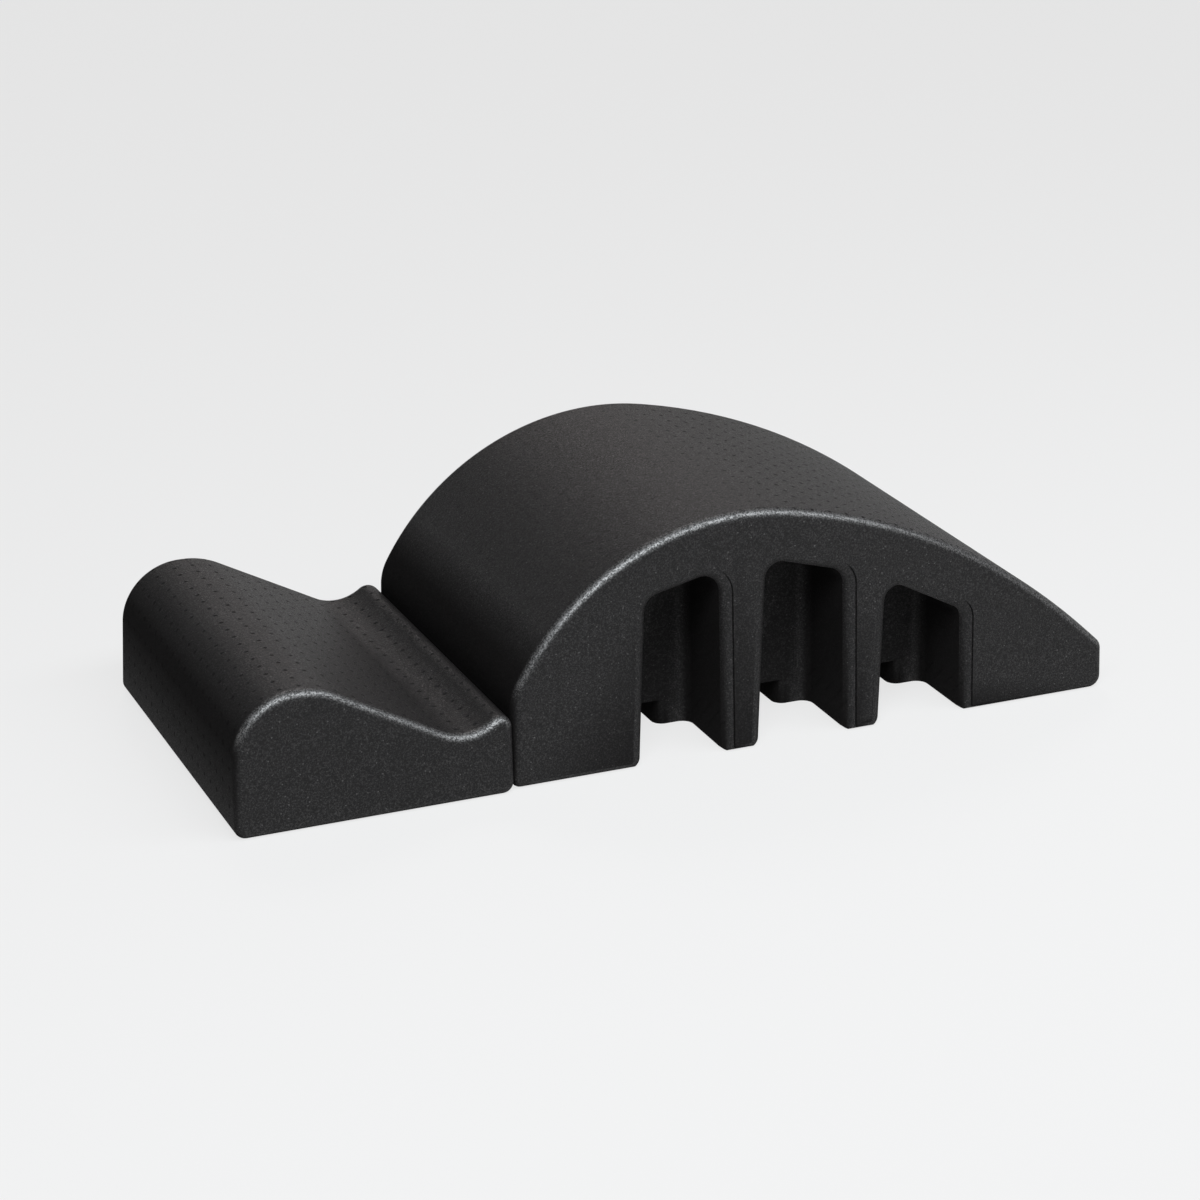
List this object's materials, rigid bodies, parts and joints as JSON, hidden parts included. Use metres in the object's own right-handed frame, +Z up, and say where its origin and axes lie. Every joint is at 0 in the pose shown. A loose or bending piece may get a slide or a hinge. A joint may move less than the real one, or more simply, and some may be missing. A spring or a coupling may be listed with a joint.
{
  "type": "pilates spine corrector",
  "caption": "Low step block and tall arched block of moulded bead foam that stand end to end, the arch with hollows in both long sides.",
  "frame": {"origin": "centre of the whole object's footprint, on the floor plane", "axes": "+X along the length from the step block to the tapered end of the arc block, +Y across, +Z up"},
  "size_m": [1, 0.4214, 0.2652],
  "materials": {
    "bead_foam": "fine leathery moulded grain, satin matte charcoal"
  },
  "bodies": {
    "arc": {"arc_block": "bead_foam"},
    "step": {"step_block": "bead_foam"}
  },
  "joints": [
    {"name": "step_block_pull", "type": "slide", "parent": "arc", "child": "step", "axis": [-1, 0, 0], "range_m": [0, 0.3]}
  ]
}
